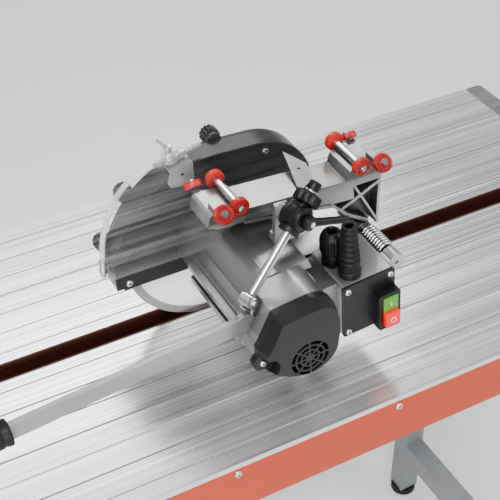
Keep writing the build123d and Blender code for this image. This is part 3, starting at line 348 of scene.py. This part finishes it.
SLOT_FINISH = {
    "deck_aluminium": ALUMINIUM, "slot_brown": SLOT_BROWN, "rail_orange": ORANGE, "screw_steel": SCREW,
    "cap_grey": CAP_GREY, "frame_grey": FRAME_GREY, "tray_steel": TRAY, "rubber_black": RUBBER,
    "beam_aluminium": BEAM, "cast_aluminium": CAST, "wheel_red": RED, "bright_steel": CHROME,
    "black_plastic": BLACK, "motor_grey": MOTOR, "handle_grey": HANDLE, "cover_dark": COVER,
    "box_silver": BOX, "button_green": GREEN, "button_red": STOP_RED, "copper": COPPER,
    "bearing_steel": STEEL, "blade_white": BLADE, "guard_grey": GUARD, "valve_chrome": VALVE,
    "bracket_white": PLATE, "hose_clear": HOSE,
}


def paint_cad_nodes():
    """Every carried-over node gets the finish of its own slot."""
    for part in frame["record"]["subparts"]:
        mesh = frame["nodes"][part["node"]].data
        mesh.materials.clear()
        mesh.materials.append(SLOT_FINISH[part["material_slot"]])


# ---------------------------------------------------------------------
# Shapes
# ---------------------------------------------------------------------
def lathe(profile, steps=48, ring=False):
    """Turns (radius, height) points in millimetres about Z. A ring's profile closes on itself."""
    shape = bmesh.new()
    points = [shape.verts.new((radius * MM, 0, height * MM)) for radius, height in profile]
    edges = [shape.edges.new(pair) for pair in zip(points, points[1:])]
    if ring:
        edges.append(shape.edges.new((points[-1], points[0])))
    bmesh.ops.spin(shape, geom=points + edges, axis=(0, 0, 1), angle=FULL_TURN, steps=steps, use_merge=True)
    bmesh.ops.remove_doubles(shape, verts=shape.verts, dist=1e-6)
    bmesh.ops.recalc_face_normals(shape, faces=shape.faces)
    return shape


def rounded(radius, low, high, ease=0.6):
    """Profile of a round bar with eased ends, closed on the axis."""
    soft = ease * 0.3
    return [(0, low), (radius - ease, low), (radius - soft, low + soft), (radius, low + ease),
            (radius, high - ease), (radius - soft, high - soft), (radius - ease, high), (0, high)]


def lobed(shape, count, depth, least=0.0):
    """Presses flutes into the round sides outside a radius."""
    for vert in shape.verts:
        reach = math.hypot(vert.co.x, vert.co.y)
        if reach > least * MM:
            turn = math.atan2(vert.co.y, vert.co.x)
            share = 1 - depth * (0.5 + 0.5 * math.cos(count * turn)) ** 2
            vert.co.x *= share
            vert.co.y *= share
    return shape


def hexed(shape, radius_low, radius_high):
    """Makes the rings between two radii six-sided."""
    side = math.radians(60)
    for vert in shape.verts:
        reach = math.hypot(vert.co.x, vert.co.y)
        if radius_low * MM <= reach <= radius_high * MM:
            turn = math.atan2(vert.co.y, vert.co.x)
            off = (turn + side / 2) % side - side / 2
            share = math.cos(side / 2) / math.cos(off)
            vert.co.x *= share
            vert.co.y *= share
    return shape


def slab(x, y, z, ease=0.5, segments=3):
    """A box from (low, high) pairs in millimetres, with rounded edges."""
    shape = bmesh.new()
    bmesh.ops.create_cube(shape, size=1.0)
    size = [(high - low) * MM for low, high in (x, y, z)]
    middle = [(high + low) / 2 * MM for low, high in (x, y, z)]
    shape.transform(Matrix.Translation(middle) @ Matrix.Diagonal((*size, 1)))
    bmesh.ops.bevel(shape, geom=shape.edges[:], offset=ease * MM, offset_type="OFFSET", segments=segments,
                    profile=0.5, affect="EDGES", clamp_overlap=True, material=-1)
    return shape


def put(target, shape, where):
    """Adds a shape to a piece at a place."""
    shape.transform(where)
    carrier = bpy.data.meshes.new("carrier")
    shape.to_mesh(carrier)
    shape.free()
    target.from_mesh(carrier)
    bpy.data.meshes.remove(carrier)


def piece(name, shape, surface, body, nodes=(), angle=38):
    """Makes the object, smooths it, and lets it ride and stand for its nodes."""
    mesh = bpy.data.meshes.new(name)
    bmesh.ops.recalc_face_normals(shape, faces=shape.faces)
    shape.to_mesh(mesh)
    shape.free()
    mesh.shade_smooth()
    mesh.set_sharp_from_angle(angle=math.radians(angle))
    mesh.materials.append(surface)
    made = bpy.data.objects.new(name, mesh)
    bpy.context.scene.collection.objects.link(made)
    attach(made, body)
    if nodes:
        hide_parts(*nodes)
    return made


# ---------------------------------------------------------------------
# Carriage
# ---------------------------------------------------------------------
ROLLER = [(3.02, -3.5), (8.8, -3.5), (9.6, -3.2), (10.0, -2.5), (10.0, 2.5), (9.6, 3.2), (8.8, 3.5),
          (7.0, 3.5), (6.7, 3.2), (6.4, 2.5), (4.9, 2.5), (4.6, 2.9), (4.4, 3.5), (3.02, 3.5)]


def straight_rollers():
    for side in ("left", "right"):
        shape = bmesh.new()
        low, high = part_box(f"axle_wheels_{side}")
        centre = spot(f"axle_{side}_roll")
        half = 3.5 * MM
        for place, out in ((low.y + half, FRONT), (high.y - half, REAR)):
            put(shape, lathe(ROLLER, 56, True), stand(Vector((centre.x, place, centre.z)), out))
        piece(f"rollers_{side}", shape, RED, f"axle_{side}", [f"axle_wheels_{side}"])


SLANTED = [(2.25, -3.5)] + ROLLER[1:12] + [(4.2, 3.5), (2.25, 3.5)]


def slanted_rollers():
    for side in ("left", "right"):
        for end in ("front", "rear"):
            joint = f"tilt_{side}_{end}_roll"
            node_name = f"tilt_wheel_{side}_{end}"
            shape = bmesh.new()
            put(shape, lathe(SLANTED, 56, True), stand(spot(joint), way(joint)))
            piece(f"roller_{side}_{end}", shape, RED, node_name, [node_name])


def axle_ends():
    """Domed nuts on the straight axles."""
    cap = [(0, 1.6), (1.2, 1.5), (2.2, 1.1), (2.9, 0.4), (3.3, 0.0), (3.3, -0.6), (0, -0.6)]
    for side in ("left", "right"):
        shape = bmesh.new()
        low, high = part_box(f"axle_{side}")
        centre = spot(f"axle_{side}_roll")
        for place, out in ((low.y, FRONT), (high.y, REAR)):
            put(shape, lathe(cap, 32), stand(Vector((centre.x, place, centre.z)), out))
        piece(f"axle_caps_{side}", shape, SCREW, f"axle_{side}")


def torsion_spring():
    """Close coil of round wire, closed at both ends."""
    low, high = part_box("plunge_spring")
    pivot = spot("plunge")
    wire = 1.6
    coil = (high.x - low.x) / 2 / MM - wire
    turns = 9
    steps = 28
    length = (high.y - low.y) / MM - 2 * wire
    shape = bmesh.new()
    circle = bmesh.ops.create_circle(shape, cap_ends=False, radius=wire * MM, segments=10)["verts"]
    upright = Matrix.Translation((coil * MM, 0, 0)) @ Matrix.Rotation(math.radians(90), 4, "X")
    bmesh.ops.transform(shape, matrix=upright, verts=circle)
    rise = Vector((0, 0, length * MM / (turns * steps)))
    edges = list({edge for vert in circle for edge in vert.link_edges})
    made = bmesh.ops.spin(shape, geom=circle + edges, axis=(0, 0, 1), dvec=rise, angle=FULL_TURN * turns,
                          steps=turns * steps, use_merge=False)
    last = [item for item in made["geom_last"] if isinstance(item, bmesh.types.BMVert)]
    bmesh.ops.contextual_create(shape, geom=circle)
    bmesh.ops.contextual_create(shape, geom=last)
    start = Vector((pivot.x, low.y + wire * MM, pivot.z))
    shape.transform(stand(start, REAR))
    piece("torsion_spring", shape, CHROME, "carriage", ["plunge_spring"], 60)


# ---------------------------------------------------------------------
# Clamp and depth rod
# ---------------------------------------------------------------------
clamp_centre = spot("clamp_swivel")


def clamp_pieces():
    """Sleeve, swivel barrel with ring grooves, hand nut and cap, moulded black, and a bright ring at the cap's
    foot.
    """
    shape = bmesh.new()
    along = stand(clamp_centre, rod_way)
    bore = 5.0
    sleeve = [(bore, -17), (9.6, -17), (10.4, -16.4), (10.5, -15.4), (10.5, -12), (9.6, -11.4), (8.6, -11),
              (8.6, -8), (9.2, -7.4), (9.2, 11.2), (8.8, 12.6), (8.0, 13.7), (bore, 13.7)]
    put(shape, lathe(sleeve, 48, True), along)
    groove = 0.8
    barrel = [(0, -12), (11.0, -12), (12.6, -11.4), (13.4, -10), (13.5, -5.4), (13.5 - groove, -5),
              (13.5 - groove, -4.2), (13.5, -3.8), (13.5, 1.8), (13.5 - groove, 2.2), (13.5 - groove, 3.0),
              (13.5, 3.4), (13.4, 8.2), (12.8, 9.4), (11.4, 10), (0, 10)]
    put(shape, lathe(barrel, 56), stand(clamp_centre, -clamp_side))
    piece("clamp_moulding", shape, BLACK, "clamp", ["clamp_body"])
    nut = bmesh.new()
    hand = [(bore, 14.2), (11.4, 14.2), (12.8, 14.8), (13.5, 16.0), (13.5, 23.6), (12.9, 25.0), (11.4, 25.7),
            (9.4, 25.7), (9.0, 25.2), (bore, 25.2)]
    put(nut, lobed(lathe(hand, 96, True), 8, 0.16, 10.9), along)
    piece("hand_nut", nut, BLACK, "clamp_knob", ["clamp_knob"])
    low, high = 26.3, 37.6
    cap = bmesh.new()
    put(cap, lathe(rounded(6.3, low + 1.0, high, 1.2), 48), along)
    piece("rod_end_cap", cap, BLACK, "rod", ["rod_cap"])
    ring = bmesh.new()
    put(ring, lathe(rounded(7.9, low, low + 1.6, 0.5), 48), along)
    piece("rod_end_ring", ring, CHROME, "rod")


def lock_lever():
    """Tapered lever with a rounded end on a round hub, and a hexagon bolt head."""
    root = clamp_centre - clamp_side * (14.4 * MM)
    tip = root + Vector((44.0, 0.0, -11.5)) * MM
    shape = bmesh.new()
    hub = [(0, -4), (6.4, -4), (7.3, -3.2), (7.5, -2), (7.5, 2.6), (7.0, 3.6), (5.8, 4), (3.4, 4), (3.0,
            3.4), (0, 3.4)]
    put(shape, lathe(hub, 40), stand(root, -clamp_side))
    run = (tip - root).length / MM
    arm = [(0, 0), (4.3, 0), (4.2, 8), (3.7, run * 0.6), (3.9, run - 6), (3.6, run - 2), (2.4, run - 0.4),
            (0, run)]
    put(shape, lathe(arm, 32), stand(root, tip - root))
    piece("lock_lever", shape, BLACK, "clamp_lever", ["clamp_lever"])
    bolt = bmesh.new()
    head_profile = [(0, 0), (3.2, 0), (3.2, 2.0), (2.6, 2.6), (0, 2.6)]
    put(bolt, hexed(lathe(head_profile, 48), 2.5, 4), stand(root - clamp_side * (3.4 * MM), -clamp_side))
    piece("lever_bolt", bolt, SCREW, "clamp_lever")


# ---------------------------------------------------------------------
# Cable entries
# ---------------------------------------------------------------------
def cable_gland():
    """Hexagonal foot, ribbed middle and a fluted dome, open at the top."""
    mount = mounts["cable_entry"]
    length = mount["dims"]["length_mm"]
    bore = mount["dims"]["r_mm"]
    base = Vector(mount["pos_m"]) - motor_up * ((length / 2 - 10) * MM)
    shape = bmesh.new()
    foot = [(bore, 0), (12.4, 0), (12.5, 0.6), (12.5, 8.2), (11.8, 9), (bore, 9)]
    put(shape, hexed(lathe(foot, 48, True), 11, 13), stand(base, motor_up))
    middle = [(bore, 9), (10.6, 9), (11, 9.6), (11, 12.6), (10.2, 13), (10.2, 14), (11, 14.4), (11, 16.6),
               (bore, 16.6)]
    put(shape, lathe(middle, 48, True), stand(base, motor_up))
    dome = [(bore, 17), (12.0, 17), (12.8, 17.8), (12.8, 31), (12.2, 33.5), (10.9, 36.8), (9.2, 39.4), (7.6,
             40.8),
            (6.0, 41), (5.2, 39.6), (bore, 36)]
    put(shape, lobed(lathe(dome, 120, True), 20, 0.05, 11.5), stand(base, motor_up))
    piece("gland", shape, BLACK, "head", ["cable_gland"])


def strain_boot():
    """Tapered boot with deep ribs and an open end."""
    mount = mounts["motor_cable_entry"]
    length = mount["dims"]["length_mm"]
    bore = mount["dims"]["r_mm"]
    base = Vector(mount["pos_m"]) - motor_up * ((length / 2 - 10) * MM)
    profile = [(bore, 0), (11.2, 0), (11.6, 0.6), (11.6, 6.4), (11.0, 7.0), (10.4, 7.4), (10.2, 16.0)]
    for step in range(7):
        height = 16.4 + step * 6.6
        reach = 10.9 - step * 0.45
        valley = 8.4 - step * 0.3
        profile += [(reach - 0.5, height), (reach, height + 0.6), (reach, height + 2.6), (reach - 0.6,
                     height + 3.4),
                    (valley, height + 4.2), (valley, height + 5.6)]
    profile += [(7.6, 62.2), (7.6, 63.4), (7.0, 64.0), (5.4, 64.0), (bore, 62.6)]
    shape = bmesh.new()
    put(shape, lathe(profile, 48, True), stand(base, motor_up))
    piece("ribbed_boot", shape, RUBBER, "head", ["strain_boot"])


# ---------------------------------------------------------------------
# Screws
# ---------------------------------------------------------------------
def socket_screw(shape, place, out, radius=4.0, height=2.6):
    """Button head with a hexagonal socket."""
    hole = radius * 0.5
    profile = [(radius, 0), (radius, height * 0.25), (radius * 0.93, height * 0.55), (radius * 0.78,
                height * 0.85),
               (radius * 0.58, height), (hole, height), (hole, height * 0.3), (0, height * 0.3)]
    made = lathe(profile, 36)
    hexed(made, hole * 0.9, hole * 1.05)
    put(shape, made, stand(place, out))


RAIL_SCREWS = 8


def rail_screws():
    low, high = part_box("rail_screws")
    radius = (high.z - low.z) / 2
    height = (low.z + high.z) / 2
    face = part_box("side_rails")
    shape = bmesh.new()
    for step in range(RAIL_SCREWS):
        x = low.x + radius + step * (high.x - low.x - 2 * radius) / (RAIL_SCREWS - 1)
        socket_screw(shape, Vector((x, face[0].y, height)), FRONT, radius / MM)
        socket_screw(shape, Vector((x, face[1].y, height)), REAR, radius / MM)
    piece("rail_socket_screws", shape, SCREW, "table", ["rail_screws"])


COVER_SCREW_RADIUS = 3.6
EAR_SCREW = (-44, 6.5)
EAR_SET_BACK = 13
BOX_SCREWS = ((73, 8.6), (123, 8.6), (73, -47))


def head_screws():
    """Screws on the motor's covers and on the guard."""
    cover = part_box("box_cover")[0].y / MM
    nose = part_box("fan_cover")[0].y / MM
    shape = bmesh.new()
    ear_u, ear_w = EAR_SCREW
    socket_screw(shape, motor(ear_u, nose + EAR_SET_BACK, ear_w), FRONT, COVER_SCREW_RADIUS)
    for u, w in BOX_SCREWS:
        socket_screw(shape, motor(u, cover, w), FRONT, COVER_SCREW_RADIUS)
    piece("cover_screws", shape, SCREW, "head", ["motor_screws"])
    guard = bmesh.new()
    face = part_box("guard_shell")[0].y / MM
    socket_screw(guard, head(58, face + 2, 189), FRONT, 4.0)
    socket_screw(guard, head(-103, face, 77), FRONT, 4.0)
    socket_screw(guard, head(103, face, 77), FRONT, 4.0)
    piece("guard_socket_screws", guard, SCREW, "head", ["guard_screws"])


# ---------------------------------------------------------------------
# Switch
# ---------------------------------------------------------------------
def push_buttons():
    """Two caps with the plain on and off signs."""
    for name, surface, slot in (("start_button", GREEN, "button_green"), ("stop_button", STOP_RED,
                                "button_red")):
        low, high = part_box(name)
        middle = (low + high) / 2
        half_u = 8.7
        half_w = ((high - low).z / MM) / 2 - 0.7
        centre = Vector((middle.x, low.y, middle.z))
        turn = Matrix((motor_right, motor_up, FRONT)).transposed().to_4x4()
        where = Matrix.Translation(centre) @ turn
        shape = bmesh.new()
        put(shape, slab((-half_u, half_u), (-half_w, half_w), (-8, 0), 1.2), where)
        piece(f"{name}_cap", shape, surface, name, [name])
        sign = bmesh.new()
        if name == "start_button":
            put(sign, slab((-0.45, 0.45), (-2.6, 2.6), (-0.5, 0.25), 0.1, 2), where)
        else:
            ring = [(2.7, -0.5), (2.7, 0.15), (2.8, 0.25), (3.3, 0.25), (3.4, 0.15), (3.4, -0.5)]
            put(sign, lathe(ring, 40, True), where)
        piece(f"{name}_sign", sign, MARK, name)


# ---------------------------------------------------------------------
# Hand knobs, grip and water feed
# ---------------------------------------------------------------------
def guard_knobs():
    profile = [(0, 0), (7.6, 0), (8.8, 0.6), (9.8, 1.6), (10.0, 3.0), (10.0, 11.0), (9.6, 12.6), (8.6, 13.8),
               (7.0, 14.5), (5.4, 14.6), (5.0, 14.0), (0, 13.8)]
    for number in (1, 2, 3):
        joint = f"guard_knob_{number}_turn"
        name = f"guard_knob_{number}"
        low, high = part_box(name)
        place = spot(joint)
        place.y = high.y - 14.6 * MM
        shape = bmesh.new()
        put(shape, lobed(lathe(profile, 96), 12, 0.14, 8.2), stand(place, REAR))
        stud = rounded(2.9, (low.y - place.y) / MM, 0.2, 0.2)
        put(shape, lathe(stud, 24), stand(place, REAR))
        piece(f"fluted_knob_{number}", shape, BLACK, name, [name])


HANDLE_ROOT = (-50, -169, 122)
HANDLE_END = (-285, -177, 106)
GRIP_LENGTH = 110


def handle_grip():
    """Ribbed rubber grip with a rolled end."""
    start = head(*HANDLE_END)
    far = start + (start - head(*HANDLE_ROOT)).normalized() * (GRIP_LENGTH * MM)
    run = (far - start).length / MM
    profile = [(0, 0), (11.5, 0), (12.8, 1.0), (13.0, 3.0), (12.4, 5.0)]
    for step in range(9):
        height = 8 + step * 10.2
        profile += [(11.6, height), (12.5, height + 2.0), (12.5, height + 6.2), (11.6, height + 8.2)]
    profile += [(12.2, run - 9), (13.0, run - 6), (12.8, run - 2.5), (11.0, run - 0.6), (0, run)]
    shape = bmesh.new()
    put(shape, lathe(profile, 40), stand(start, far - start))
    piece("ribbed_grip", shape, RUBBER, "head", ["handle_grip"])


valve_centre = spot("valve_turn")


def water_valve():
    """Ball valve with a hexagonal end, a spigot and an outlet."""
    along = stand(valve_centre, feed_way)
    shape = bmesh.new()
    body = [(0, -20), (3.4, -20), (4, -19.4), (4, -15.2), (5.0, -15), (5.4, -14.6), (5.4, -8.6), (5.2, -8),
             (6.8, -6.2),
            (7.9, -3.4), (8.4, 0), (7.9, 3.4), (6.8, 6.2), (5.8, 8), (6.0, 8.5), (6.0, 14.5), (5.6, 15),
             (4.0, 15.2),
            (4.0, 18), (4.4, 18.8), (4.0, 19.6), (4.0, 22), (4.4, 22.8), (4.0, 23.6), (4.0, 33.4), (3.6,
             34), (0, 34)]
    put(shape, hexed(lathe(body, 48), 5.9, 6.05), along)
    stem = [(0, 0), (3.4, 0), (3.4, 9.4), (3.0, 10), (0, 10)]
    put(shape, lathe(stem, 32), stand(valve_centre, way("valve_turn")))
    piece("ball_valve", shape, VALVE, "head", ["valve_body"])


def valve_handle():
    up = way("valve_turn")
    base = valve_centre + up * (10.3 * MM)
    shape = bmesh.new()
    put(shape, lathe(rounded(4.5, 0, 4.2, 0.8), 40), stand(base, up))
    start = base + up * (2 * MM)
    tip = base + up * (20 * MM) - feed_way * (10 * MM)
    run = (tip - start).length / MM
    arm = [(0, 0), (2.2, 0), (1.9, run * 0.4), (2.2, run - 4), (2.4, run - 1.4), (1.4, run - 0.2), (0, run)]
    put(shape, lathe(arm, 24), stand(start, tip - start))
    piece("valve_handle", shape, VALVE, "valve_lever", ["valve_lever"])


HOSE_ROUTE = [(-63.63, -3.0, 204.18), (-75.41, -3.0, 201.89), (-89.0, 1.5, 190.5), (-99.5, 6.0, 174.5),
              (-109.0, 8.0, 155.5), (-116.0, 8.0, 136.0), (-120.5, 8.0, 116.0), (-121.5, 7.0, 97.0)]


def water_hose():
    """Clear hose on one smooth line, held along the guard's rim."""
    curve = bpy.data.curves.new("feed_hose", "CURVE")
    curve.dimensions = "3D"
    spline = curve.splines.new("NURBS")
    spline.points.add(len(HOSE_ROUTE) - 1)
    for point, place in zip(spline.points, HOSE_ROUTE):
        point.co = (*head(*place), 1.0)
    spline.order_u = 3
    spline.use_endpoint_u = True
    spline.resolution_u = 10
    curve.bevel_depth = 3.0 * MM
    curve.bevel_resolution = 6
    curve.use_fill_caps = True
    curve.materials.append(HOSE)
    made = bpy.data.objects.new("feed_hose", curve)
    bpy.context.scene.collection.objects.link(made)
    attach(made, "head")
    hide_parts("water_hose")


# ---------------------------------------------------------------------
# Stage
# ---------------------------------------------------------------------
CAMERA_PLACE = (-0.23699, -0.85940, 1.67474)
CAMERA_AZIMUTH = -28.472
CAMERA_ELEVATION = 39.435
CAMERA_LENS = 82.03


def camera():
    lens = bpy.data.cameras.new("camera")
    lens.lens = CAMERA_LENS
    lens.sensor_width = 36.0
    made = bpy.data.objects.new("camera", lens)
    bpy.context.scene.collection.objects.link(made)
    turn = math.radians(CAMERA_AZIMUTH)
    rise = math.radians(CAMERA_ELEVATION)
    back = Vector((math.sin(turn) * math.cos(rise), -math.cos(turn) * math.cos(rise), math.sin(rise)))
    made.location = CAMERA_PLACE
    made.rotation_mode = "QUATERNION"
    made.rotation_quaternion = (-back).to_track_quat("-Z", "Y")
    bpy.context.scene.camera = made


def soft_box(name, place, target, size, power, tint=(1, 1, 1)):
    light = bpy.data.lights.new(name, "AREA")
    light.shape = "RECTANGLE"
    light.size = size[0]
    light.size_y = size[1]
    light.energy = power
    light.color = tint
    made = bpy.data.objects.new(name, light)
    bpy.context.scene.collection.objects.link(made)
    made.location = place
    made.rotation_mode = "QUATERNION"
    made.rotation_quaternion = (Vector(target) - Vector(place)).to_track_quat("-Z", "Y")


def studio():
    world = bpy.data.worlds.new("studio")
    bpy.context.scene.world = world
    world.use_nodes = True
    tree = world.node_tree
    back = tree.nodes["Background"]
    place = node(tree, "ShaderNodeTexCoord")
    parts = node(tree, "ShaderNodeSeparateXYZ")
    link(tree, place, "Generated", parts, 0)
    tone = ramp(tree, parts.outputs["Z"], 0.12, 1.0, -0.1, 0.7)
    link(tree, tone, "Result", back, "Color")
    back.inputs["Strength"].default_value = 0.62
    sun = bpy.data.lights.new("sun", "SUN")
    sun.energy = 2.6
    sun.angle = math.radians(30)
    made = bpy.data.objects.new("sun", sun)
    bpy.context.scene.collection.objects.link(made)
    made.rotation_mode = "QUATERNION"
    made.rotation_quaternion = Vector((0.35, 0.45, -1.0)).to_track_quat("-Z", "Y")
    middle = blade_axis
    soft_box("key", (-0.8, -1.0, 2.2), middle, (0.8, 0.5), 14)
    soft_box("side", (1.3, -0.6, 1.6), middle, (0.5, 0.9), 8)
    soft_box("rear", (0.4, 1.1, 2.0), middle, (1.4, 0.4), 16)
    soft_box("front", (-0.5, -1.5, 1.15), middle, (0.9, 0.4), 24)


def floor():
    shape = bmesh.new()
    bmesh.ops.create_grid(shape, x_segments=1, y_segments=1, size=12.0)
    mesh = bpy.data.meshes.new("floor")
    shape.to_mesh(mesh)
    shape.free()
    surface = finish("floor_pale", (0.86, 0.86, 0.86), 0.0, (0.8, 0.9), (0.99, 1.01), (1, 1, 1), 2, 0.0, 40,
                     0.1)
    mesh.materials.append(surface)
    made = bpy.data.objects.new("floor", mesh)
    bpy.context.scene.collection.objects.link(made)


camera()
studio()
floor()
paint_cad_nodes()
straight_rollers()
slanted_rollers()
axle_ends()
torsion_spring()
clamp_pieces()
lock_lever()
cable_gland()
strain_boot()
rail_screws()
head_screws()
push_buttons()
guard_knobs()
handle_grip()
water_valve()
valve_handle()
water_hose()
